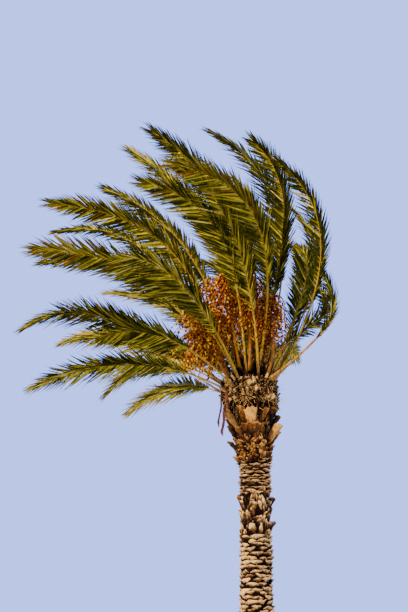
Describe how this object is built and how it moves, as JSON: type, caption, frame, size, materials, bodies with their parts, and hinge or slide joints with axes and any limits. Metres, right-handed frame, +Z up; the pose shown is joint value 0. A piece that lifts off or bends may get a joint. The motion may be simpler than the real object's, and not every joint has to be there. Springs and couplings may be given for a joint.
{
  "type": "date palm tree",
  "caption": "Tall date palm with a ringed bare trunk, cut leaf boots, a fibrous head and a wind-swept crown of feather fronds over bunches of dates.",
  "frame": {"origin": "middle of the flat cut under the trunk, at ground level", "axes": "+Z up along the trunk, -X the way the wind blows the crown, -Y the side that the picture shows"},
  "size_m": [4.1784, 4.2312, 9.3936],
  "materials": {
    "bark": "matt weathered palm bark, grey brown with paler leaf scars",
    "boots": "matt dry cut leaf bases, tan with dark gaps",
    "fibre": "matt matted brown leaf-sheath fibre",
    "frond": "semi-matt olive green leaflets on golden leaf stalks",
    "dates": "satin ripening dates, amber to dark red, on orange strands"
  },
  "bodies": {
    "root": {"trunk": "bark", "boot_crown": "boots", "fibre_head": "fibre", "spear": "frond", "frond_01": "frond", "frond_02": "frond", "frond_03": "frond", "frond_04": "frond", "frond_05": "frond", "frond_06": "frond", "frond_07": "frond", "frond_08": "frond", "frond_09": "frond", "frond_10": "frond", "frond_11": "frond", "frond_12": "frond", "frond_13": "frond", "frond_14": "frond", "frond_15": "frond", "frond_16": "frond", "frond_17": "frond", "frond_18": "frond", "frond_19": "frond", "frond_20": "frond", "frond_21": "frond", "frond_22": "frond", "frond_23": "frond", "frond_24": "frond", "frond_25": "frond", "frond_26": "frond", "frond_27": "frond", "frond_28": "frond", "frond_29": "frond", "frond_30": "frond", "frond_31": "frond", "frond_32": "frond", "frond_33": "frond", "frond_34": "frond", "frond_35": "frond", "frond_36": "frond", "date_bunch_1": "dates", "date_bunch_2": "dates", "date_bunch_3": "dates", "date_bunch_4": "dates", "date_bunch_5": "dates", "date_bunch_6": "dates", "date_bunch_7": "dates"}
  },
  "joints": []
}
